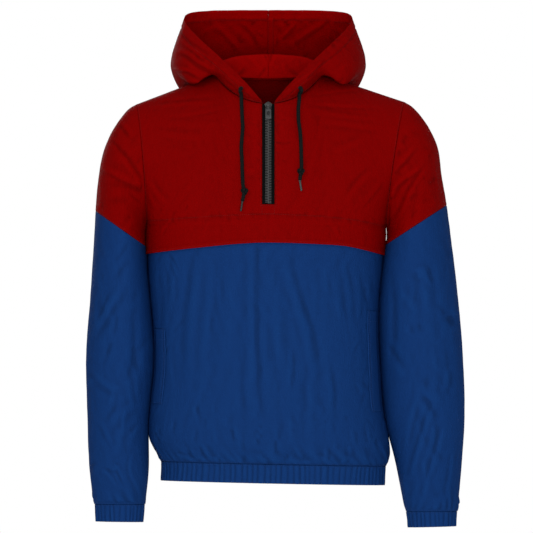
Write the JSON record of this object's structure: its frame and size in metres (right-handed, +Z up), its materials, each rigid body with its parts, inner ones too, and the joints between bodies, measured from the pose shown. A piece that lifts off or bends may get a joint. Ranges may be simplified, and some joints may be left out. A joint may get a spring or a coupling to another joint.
{
  "type": "anorak pullover",
  "caption": "Half-zip hooded pullover windbreaker in red and blue nylon, with a free chest flap, side pockets, and elastic hem and cuffs.",
  "frame": {"origin": "middle of the neck opening, level with the tops of the shoulders, where the wearer's neck and shoulders hold the garment", "axes": "+Z up towards the hood, -Y out of the garment's front, +X towards the wearer's left sleeve; the nodes named left and right are left and right as seen from the front"},
  "size_m": [0.636, 0.3012, 0.8701],
  "materials": {
    "red_nylon": "matt crinkled woven nylon",
    "blue_nylon": "matt crinkled woven nylon",
    "black_cord": "round braided polyester cord",
    "cord_tip": "heat-shrunk plastic tip",
    "eyelet_metal": "black painted brass eyelet",
    "zip_tape": "woven polyester tape",
    "zip_teeth": "moulded dark grey zip teeth",
    "zip_metal": "gunmetal painted zinc"
  },
  "bodies": {
    "garment": {"back_body": "blue_nylon", "back_yoke": "red_nylon", "cord_left": "black_cord", "cord_right": "black_cord", "cuff_left": "blue_nylon", "cuff_right": "blue_nylon", "eyelet_left": "eyelet_metal", "eyelet_right": "eyelet_metal", "front_body": "blue_nylon", "front_yoke": "red_nylon", "hem_band": "blue_nylon", "hood_left": "red_nylon", "hood_right": "red_nylon", "hood_seam_tape": "red_nylon", "knot_left": "black_cord", "knot_right": "black_cord", "pocket_welt_left": "blue_nylon", "pocket_welt_right": "blue_nylon", "sleeve_lower_left": "blue_nylon", "sleeve_lower_right": "blue_nylon", "sleeve_upper_left": "red_nylon", "sleeve_upper_right": "red_nylon", "tail_left": "black_cord", "tail_right": "black_cord", "tip_left": "cord_tip", "tip_right": "cord_tip", "zip_slider": "zip_metal", "zip_tape_left": "zip_tape", "zip_tape_right": "zip_tape", "zip_teeth": "zip_teeth"},
    "zip_pull": {"zip_pull": "zip_metal"}
  },
  "joints": [
    {"name": "zip_pull_hinge", "type": "hinge", "parent": "garment", "child": "zip_pull", "pos_m": [0, -0.09444, -0.0366], "axis": [-1, 0, 0], "range_deg": [0, 150]}
  ]
}
